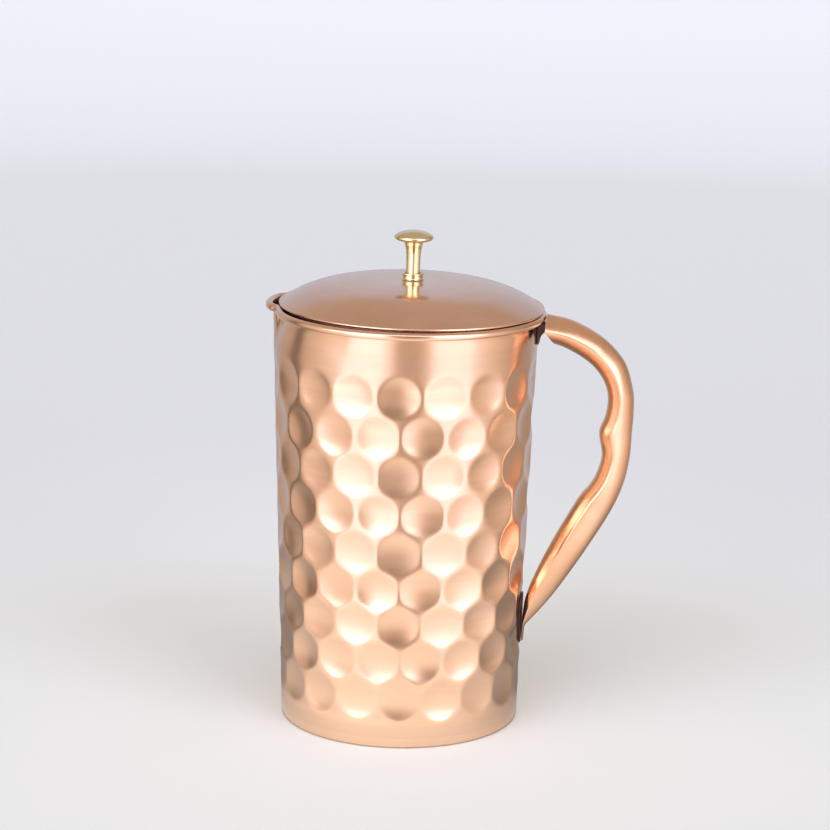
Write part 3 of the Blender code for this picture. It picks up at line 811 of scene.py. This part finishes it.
def new_group(name, inputs, outputs):
    tree = bpy.data.node_groups.new(name, "ShaderNodeTree")
    for label, kind, value in inputs:
        socket = tree.interface.new_socket(name=label, in_out='INPUT', socket_type=kind)
        if value is not None:
            socket.default_value = value
    for label, kind in outputs:
        tree.interface.new_socket(name=label, in_out='OUTPUT', socket_type=kind)
    nodes = Nodes(tree)
    return nodes, nodes.add("NodeGroupInput"), nodes.add("NodeGroupOutput")


def lathe_lines():
    """Fine rings about Z, as a lathe or a spinning brush leaves them."""
    if "lathe_lines" in bpy.data.node_groups:
        return bpy.data.node_groups["lathe_lines"]
    nodes, start, end = new_group(
        "lathe_lines",
        [("Vector", 'NodeSocketVector', None), ("Lines", 'NodeSocketFloat', 1000.0),
         ("Wander", 'NodeSocketFloat', 12.0)],
        [("Height", 'NodeSocketFloat'), ("Streaks", 'NodeSocketFloat')])
    part = nodes.add("ShaderNodeSeparateXYZ", Vector=start.outputs["Vector"])
    x, y, z = part.outputs
    square = nodes.math('ADD', nodes.math('MULTIPLY', x, x), nodes.math('MULTIPLY', y, y))
    radius = nodes.math('SQRT', square)
    lines = start.outputs["Lines"]
    drift = nodes.math('MULTIPLY', nodes.math('ADD', x, nodes.math('MULTIPLY', y, 1.7)),
                       start.outputs["Wander"])
    place = nodes.add("ShaderNodeCombineXYZ", X=nodes.math('MULTIPLY', radius, lines),
                      Y=nodes.math('MULTIPLY', z, lines), Z=drift).outputs[0]
    fine = nodes.noise(place, 1.0, 3.0, 0.65)
    broad = nodes.noise(place, 0.16, 2.0, 0.5)
    nodes.feed(end.inputs["Height"], nodes.plus(nodes.math('MULTIPLY', fine, 0.6), broad, 0.4))
    nodes.feed(end.inputs["Streaks"], nodes.spread(broad, 0.32, 0.68, 0.0, 1.0))
    return nodes.tree


def handling_marks():
    """Soft tarnish and faint smudges from handling, at two sizes."""
    if "handling_marks" in bpy.data.node_groups:
        return bpy.data.node_groups["handling_marks"]
    nodes, start, end = new_group(
        "handling_marks",
        [("Vector", 'NodeSocketVector', None), ("Scale", 'NodeSocketFloat', 30.0)],
        [("Tarnish", 'NodeSocketFloat'), ("Smudge", 'NodeSocketFloat'), ("Pits", 'NodeSocketFloat')])
    vector, scale = start.outputs["Vector"], start.outputs["Scale"]
    cloud = nodes.noise(vector, scale, 4.0, 0.55)
    small = nodes.noise(vector, nodes.math('MULTIPLY', scale, 6.0), 3.0, 0.6)
    grit = nodes.noise(vector, nodes.math('MULTIPLY', scale, 60.0), 2.0, 0.5)
    nodes.feed(end.inputs["Tarnish"], nodes.spread(cloud, 0.38, 0.66, 0.0, 1.0))
    nodes.feed(end.inputs["Smudge"], nodes.spread(small, 0.45, 0.75, 0.0, 1.0))
    nodes.feed(end.inputs["Pits"], nodes.spread(grit, 0.66, 0.78, 0.0, 1.0))
    return nodes.tree


def metal(name):
    """An empty metal material with its nodes, shader and object coordinates."""
    mat = bpy.data.materials.new(name)
    mat.use_nodes = True
    nodes = Nodes(mat.node_tree)
    shader = mat.node_tree.nodes["Principled BSDF"]
    shader.inputs["Metallic"].default_value = 1.0
    shader.inputs["Coat Weight"].default_value = 0.5
    shader.inputs["Coat Roughness"].default_value = 0.14
    where = nodes.add("ShaderNodeTexCoord").outputs["Object"]
    return mat, nodes, shader, where


def tinted(colour, value, warm=0.0):
    """A lighter or darker, warmer or cooler shade of a metal."""
    red, green, blue = colour
    return (min(1.0, red * value), min(1.0, green * value * (1.0 - 0.5 * warm)),
            min(1.0, blue * value * (1.0 - warm)), 1.0)


def place_group(nodes, tree, **inputs):
    return nodes.add("ShaderNodeGroup", {"node_tree": tree}, **inputs)


def feed_metal(nodes, shader, colour, rough, height, strength, distance):
    """Feed a metal's colour, its roughness and its fine relief."""
    nodes.feed(shader.inputs["Base Color"], colour)
    nodes.feed(shader.inputs["Roughness"], rough)
    bump = nodes.add("ShaderNodeBump", Strength=strength, Distance=distance, Height=height)
    nodes.feed(shader.inputs["Normal"], bump.outputs["Normal"])


def hammered_copper(context):
    """Satin copper: brushed round the wall, a little glossier on the ridges between the marks."""
    finish = context.scene.water_jug_finish
    mat, nodes, shader, where = metal("hammered_copper")
    lines = place_group(nodes, lathe_lines(), Vector=where, Lines=1300.0, Wander=14.0)
    marks = place_group(nodes, handling_marks(), Vector=where, Scale=26.0)
    deep = nodes.add("ShaderNodeAttribute", {"attribute_name": "hammered"}).outputs["Fac"]
    ridge = nodes.spread(deep, 0.0, 0.35, 1.0, 0.0)
    colour = nodes.mix(marks.outputs["Tarnish"], tinted(finish.wall_copper, 1.02),
                       tinted(finish.wall_copper, 0.95, 0.05))
    colour = nodes.mix(nodes.math('MULTIPLY', lines.outputs["Streaks"], 0.75), colour,
                       tinted(finish.wall_copper, 0.88, -0.04))
    rough = nodes.plus(finish.satin, lines.outputs["Streaks"], 0.05)
    rough = nodes.plus(nodes.plus(rough, marks.outputs["Smudge"], 0.03), ridge, -0.03)
    feed_metal(nodes, shader, colour, rough, lines.outputs["Height"], strength=0.22, distance=0.05 * MM)
    return mat


def spun_copper(name, colour, rough, lines, depth):
    """Copper spun on a former, with fine rings about its axis."""
    mat, nodes, shader, where = metal(name)
    rings = place_group(nodes, lathe_lines(), Vector=where, Lines=lines, Wander=10.0)
    marks = place_group(nodes, handling_marks(), Vector=where, Scale=34.0)
    shades = nodes.mix(marks.outputs["Tarnish"], tinted(colour, 1.02), tinted(colour, 0.93, 0.05))
    shades = nodes.mix(nodes.math('MULTIPLY', rings.outputs["Streaks"], 0.4), shades,
                       tinted(colour, 0.92, -0.05))
    rough = nodes.plus(rough, rings.outputs["Streaks"], 0.06)
    rough = nodes.plus(rough, marks.outputs["Smudge"], 0.04)
    feed_metal(nodes, shader, shades, rough, rings.outputs["Height"], strength=depth, distance=0.05 * MM)
    return mat


def polished_copper(context):
    """Polished copper of the handle, with faint polishing lines and a paler inner side that is painted
    light, a lit copy of the copper on the side facing the wall.
    """
    finish = context.scene.water_jug_finish
    colour = finish.handle_copper
    mat, nodes, shader, where = metal("handle_copper")
    marks = place_group(nodes, handling_marks(), Vector=where, Scale=40.0)
    stretched = nodes.add("ShaderNodeMapping", Vector=where, Scale=(1.0, 14.0, 1.0)).outputs[0]
    polishing = nodes.noise(stretched, 260.0, 3.0, 0.6)
    shades = nodes.mix(marks.outputs["Tarnish"], tinted(colour, 1.0), tinted(colour, 0.92, 0.07))
    # Painted light: the inner side facing the wall turns to the paler, lit copper.
    inner = nodes.add("ShaderNodeAttribute", {"attribute_name": "inner_light"}).outputs["Fac"]
    shades = nodes.mix(inner, shades, (*finish.inner_side_lit_copper, 1.0))
    rough = nodes.plus(nodes.plus(finish.polish, marks.outputs["Smudge"], 0.06), polishing, 0.04)
    feed_metal(nodes, shader, shades, rough, polishing, strength=0.12, distance=0.1 * MM)
    return mat


def turned_brass(name, colour, rough):
    """Turned brass, with tool rings and slight age."""
    mat, nodes, shader, where = metal(name)
    rings = place_group(nodes, lathe_lines(), Vector=where, Lines=2600.0, Wander=20.0)
    marks = place_group(nodes, handling_marks(), Vector=where, Scale=90.0)
    shades = nodes.mix(marks.outputs["Tarnish"], tinted(colour, 1.03), tinted(colour, 0.9, 0.1))
    rough = nodes.plus(rough, marks.outputs["Smudge"], 0.05)
    feed_metal(nodes, shader, shades, rough, rings.outputs["Height"], strength=0.15, distance=0.03 * MM)
    return mat


def near_black_plate_material(name, colour):
    """Dark purple-brown copper, near black, with copper-coloured spots in places."""
    mat, nodes, shader, where = metal(name)
    shader.inputs["Coat Weight"].default_value = 0.15
    marks = place_group(nodes, handling_marks(), Vector=where, Scale=160.0)
    shades = nodes.mix(marks.outputs["Tarnish"], tinted(colour, 1.0), tinted(colour, 1.7, 0.15))
    shades = nodes.mix(nodes.math('MULTIPLY', marks.outputs["Smudge"], 0.35), shades, COPPER_SPOTS)
    nodes.feed(shader.inputs["Metallic"], nodes.plus(0.30, marks.outputs["Smudge"], 0.35))
    rough = nodes.spread(marks.outputs["Tarnish"], 0.0, 1.0, 0.42, 0.6)
    height = nodes.plus(marks.outputs["Tarnish"], marks.outputs["Pits"], 0.5)
    feed_metal(nodes, shader, shades, rough, height, strength=0.3, distance=0.2 * MM)
    return mat


# Stage

# Brightness round the jug below and above the horizon, as (degrees to the right of the camera, level)
LOW_RING = [(-180, 0.52), (-150, 0.50), (-128, 0.50), (-121, 0.45), (-117, 0.21), (-106, 0.21),
            (-101, 0.58), (-90, 0.72), (-78, 0.85), (-62, 1.0), (-53, 1.6), (-21, 1.75), (-12, 1.1),
            (-5, 0.56), (12, 0.56), (20, 0.86), (28, 1.65), (58, 1.6), (66, 1.1), (82, 0.85), (100, 0.62),
            (112, 0.42), (138, 0.40), (150, 0.52), (180, 0.52)]
HIGH_RING = [(-180, 0.60), (-150, 0.55), (-128, 0.52), (-121, 0.45), (-117, 0.22), (-106, 0.22),
             (-101, 0.55), (-76, 0.85), (-60, 2.9), (-20, 3.1), (-12, 0.6), (-5, 0.34), (12, 0.34),
             (20, 0.55), (28, 3.0), (60, 2.9), (72, 0.85), (98, 0.52), (112, 0.36), (140, 0.34),
             (150, 0.55), (180, 0.60)]


def studio_world(stage):
    """A dim room with a tall soft panel either side of the camera and a strip of light high in front."""
    world = bpy.data.worlds.new("studio")
    bpy.context.scene.world = world
    world.use_nodes = True
    nodes = Nodes(world.node_tree)
    background = world.node_tree.nodes["Background"]
    where = nodes.add("ShaderNodeTexCoord").outputs["Generated"]
    turned_to = nodes.add("ShaderNodeVectorRotate", {"rotation_type": 'Z_AXIS'}, Vector=where,
                          Angle=-stage.turn).outputs[0]
    x, y, z = nodes.add("ShaderNodeSeparateXYZ", Vector=turned_to).outputs
    heading = nodes.math('ARCTAN2', x, nodes.math('MULTIPLY', y, -1.0))
    round_it = nodes.math('ADD', nodes.math('DIVIDE', heading, 2.0 * math.pi), 0.5)
    levels = []
    for ring in (LOW_RING, HIGH_RING):
        ramp = nodes.add("ShaderNodeValToRGB", Fac=round_it)
        stops = ramp.color_ramp.elements
        brightest = max(level for _, level in ring)
        while len(stops) < len(ring):
            stops.new(0.5)
        for stop, (degrees, level) in zip(stops, ring):
            stop.position = degrees / 360.0 + 0.5
            stop.color = (*[level / brightest] * 3, 1.0)
        levels.append(nodes.math('MULTIPLY', ramp.outputs["Color"], brightest))
    level = nodes.blend(*levels, nodes.spread(z, -0.12, 0.12, 0.0, 1.0))
    roof = nodes.spread(z, 0.46, 0.66, 0.0, 1.0)
    level = nodes.blend(level, ROOF_LEVEL, roof)
    strip = nodes.math('MULTIPLY', nodes.spread(z, 0.60, 0.67, 0.0, STRIP_LEVEL),
                       nodes.spread(z, 0.75, 0.82, 1.0, 0.0))
    aside = nodes.math('ABSOLUTE', heading)
    strip = nodes.math('MULTIPLY', strip, nodes.spread(aside, 0.8, 1.2, 1.0, 0.0))
    level = nodes.math('MULTIPLY', nodes.math('ADD', level, strip), stage.light)
    seen = nodes.add("ShaderNodeLightPath").outputs["Is Camera Ray"]
    level = nodes.blend(level, BACKDROP_LEVEL, seen)
    behind = nodes.math('MULTIPLY', nodes.spread(aside, 2.3, 2.8, 0.0, 1.0),
                        nodes.math('SUBTRACT', 1.0, roof))
    cool = nodes.math('MAXIMUM', behind, nodes.spread(level, 0.65, 1.5, 0.0, 1.0))
    tint = nodes.mix(cool, WARM_ROOM, COOL_PANELS)
    nodes.feed(background.inputs["Color"], tint)
    nodes.feed(background.inputs["Strength"], level)


def paint_with_painted_falloff(name):
    """Pale floor paint with painted light falloff: lighter close to the jug, turning a little greyer away
    from it as painted shade.
    """
    mat = bpy.data.materials.new(name)
    mat.use_nodes = True
    nodes = Nodes(mat.node_tree)
    shader = mat.node_tree.nodes["Principled BSDF"]
    away = nodes.distance(nodes.add("ShaderNodeTexCoord").outputs["Object"])
    # Painted light falloff: lighter paint near the jug and greyer paint further out stand in for how the
    # light falls off.
    shades = nodes.mix(nodes.spread(away, 0.08, 0.55, 0.0, 1.0), NEAR_PAINT_LIT, MIDDLE_PAINT_SHADED)
    shades = nodes.mix(nodes.spread(away, 1.5, 2.6, 0.0, 1.0), shades, FAR_PAINT_SHADED)
    nodes.feed(shader.inputs["Base Color"], shades)
    shader.inputs["Roughness"].default_value = 1.0
    shader.inputs["Specular IOR Level"].default_value = 0.0
    return mat


def glow_material(name):
    """Painted reflection of the lit floor close to the jug, with a painted shadow at the jug's foot; it
    fades out with distance.
    """
    mat = bpy.data.materials.new(name)
    mat.use_nodes = True
    nodes = Nodes(mat.node_tree)
    mat.node_tree.nodes.remove(mat.node_tree.nodes["Principled BSDF"])
    end = mat.node_tree.nodes["Material Output"]
    where = nodes.add("ShaderNodeTexCoord").outputs["Object"]
    away = nodes.distance(where)
    y = nodes.add("ShaderNodeSeparateXYZ", Vector=where).outputs["Y"]
    # Painted light: the glow is brighter in front of the jug than behind it.
    level = nodes.spread(y, -0.10, 0.06, 1.25, 0.25)
    # Painted shadow: the glow is halved within the jug's foot.
    level = nodes.math('MULTIPLY', level, nodes.spread(away, 0.0502, 0.0518, 0.5, 1.0))
    glow = nodes.add("ShaderNodeEmission", Color=FLOOR_LIGHT, Strength=level)
    clear = nodes.add("ShaderNodeBsdfTransparent")
    blend = nodes.add("ShaderNodeMixShader", Fac=nodes.spread(away, 0.07, 0.36, 0.0, 1.0))
    nodes.feed(blend.inputs[1], glow.outputs[0])
    nodes.feed(blend.inputs[2], clear.outputs[0])
    nodes.feed(end.inputs["Surface"], blend.outputs[0])
    return mat


class WATERJUG_OT_stage(bpy.types.Operator):
    """Set the camera, the soft studio light, the pale floor and its backdrop"""

    bl_idname = "water_jug.stage"
    bl_label = "Stage"

    def execute(self, context):
        stage = context.scene.water_jug_stage
        deselect()
        bpy.ops.object.camera_add(location=stage.place)
        camera = context.object
        camera.name = "camera"
        camera.data.lens = stage.lens
        camera.data.sensor_width = 36.0
        camera.data.clip_start = 0.05
        right, ahead = Vector((1.0, 0.0, 0.0)), Vector((0.0, math.cos(stage.pitch), -math.sin(stage.pitch)))
        up = Vector((0.0, math.sin(stage.pitch), math.cos(stage.pitch)))
        rolled_right = right * math.cos(stage.roll) + up * math.sin(stage.roll)
        rolled_up = up * math.cos(stage.roll) - right * math.sin(stage.roll)
        axes = Matrix((rolled_right, rolled_up, -ahead)).transposed()
        camera.rotation_euler = (Matrix.Rotation(stage.turn, 3, 'Z') @ axes).to_euler()
        context.scene.camera = camera
        context.scene.view_settings.view_transform = 'Standard'

        studio_world(stage)

        points = [(0.0, 0.0), (600.0, 0.0), (FLOOR_R, 0.0)]
        points += arc((FLOOR_R, SWEEP_R), SWEEP_R, -90.0, 0.0, 24)[1:] + [(FLOOR_R + SWEEP_R, 2.0 * SWEEP_R)]
        sweep = turned("sweep", points, 96, closed=False)
        shade(sweep, 60.0)
        sweep.data.materials.append(paint_with_painted_falloff("sweep_paint_with_painted_falloff"))
        for kind in ("diffuse", "glossy", "transmission", "shadow"):
            setattr(sweep, "visible_" + kind, False)

        deselect()
        bpy.ops.mesh.primitive_circle_add(vertices=96, radius=0.5, fill_type='NGON')
        glow = begin("floor_glow")
        glow.data.materials.append(glow_material("floor_glow"))
        for kind in ("camera", "diffuse", "transmission", "shadow"):
            setattr(glow, "visible_" + kind, False)
        return {'FINISHED'}


class WATERJUG_PT_panel(bpy.types.Panel):
    """Buttons for every piece of the jug and its stage"""

    bl_label = "Water Jug"
    bl_space_type = 'VIEW_3D'
    bl_region_type = 'UI'
    bl_category = "Water Jug"

    def draw(self, context):
        column = self.layout.column(align=True)
        for step in STEPS:
            column.operator(step.bl_idname)
        for group in (context.scene.water_jug_sizes, context.scene.water_jug_finish,
                      context.scene.water_jug_stage):
            box = self.layout.box()
            for key in group.bl_rna.properties.keys():
                if key not in ("rna_type", "name"):
                    box.prop(group, key)


STEPS = (WATERJUG_OT_stage, WATERJUG_OT_hammered_wall, WATERJUG_OT_base, WATERJUG_OT_handle,
         WATERJUG_OT_plates, WATERJUG_OT_lid, WATERJUG_OT_knob)
GROUPS = (("water_jug_sizes", JugSizes), ("water_jug_finish", JugFinish), ("water_jug_stage", JugStage))


def register():
    for name, group in GROUPS:
        bpy.utils.register_class(group)
        setattr(bpy.types.Scene, name, PointerProperty(type=group))
    for item in (*STEPS, WATERJUG_PT_panel):
        bpy.utils.register_class(item)


def unregister():
    for item in (WATERJUG_PT_panel, *reversed(STEPS)):
        bpy.utils.unregister_class(item)
    for name, group in reversed(GROUPS):
        delattr(bpy.types.Scene, name)
        bpy.utils.unregister_class(group)


def main():
    register()
    bpy.ops.water_jug.stage()
    bpy.ops.water_jug.hammered_wall()
    bpy.ops.water_jug.base()
    bpy.ops.water_jug.handle()
    bpy.ops.water_jug.plates()
    bpy.ops.water_jug.lid()
    bpy.ops.water_jug.knob()


if __name__ == "__main__":
    main()
